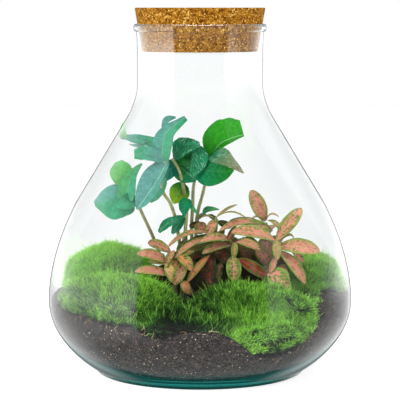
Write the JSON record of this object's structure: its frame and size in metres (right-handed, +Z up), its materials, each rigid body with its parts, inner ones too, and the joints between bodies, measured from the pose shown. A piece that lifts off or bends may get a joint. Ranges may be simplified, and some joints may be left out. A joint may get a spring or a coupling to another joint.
{
  "type": "glass plant terrarium",
  "caption": "Closed bottle garden: flask-shaped clear glass jar with a cork stopper, holding soil, moss cushions, a green foliage plant and a pink nerve plant.",
  "frame": {"origin": "centre of the jar's foot, on the surface it stands on", "axes": "+Z up along the jar's axis, -Y towards the viewer of the picture, +X to the viewer's right"},
  "size_m": [0.2506, 0.2506, 0.3],
  "materials": {
    "glass": "clear polished glass, teal where it is thick",
    "cork": "pressed cork granules",
    "soil": "crumbly dark potting soil",
    "moss": "soft fine moss",
    "green_leaf": "glossy green leaf",
    "nerve_leaf": "satin coral leaf with green veins and edges"
  },
  "bodies": {
    "root": {"glass_jar": "glass", "cork_stopper": "cork", "soil": "soil", "moss_front_left": "moss", "moss_front_right": "moss", "moss_back_left": "moss", "moss_back_right": "moss", "frond_low_left": "green_leaf", "frond_tall_left": "green_leaf", "frond_middle": "green_leaf", "frond_right": "green_leaf", "frond_top_right": "green_leaf", "shoot_low": "green_leaf", "nerve_right": "nerve_leaf", "nerve_back_right": "nerve_leaf", "nerve_middle": "nerve_leaf", "nerve_middle_left": "nerve_leaf", "nerve_left": "nerve_leaf", "nerve_far_left": "nerve_leaf", "nerve_low": "nerve_leaf"}
  },
  "joints": []
}
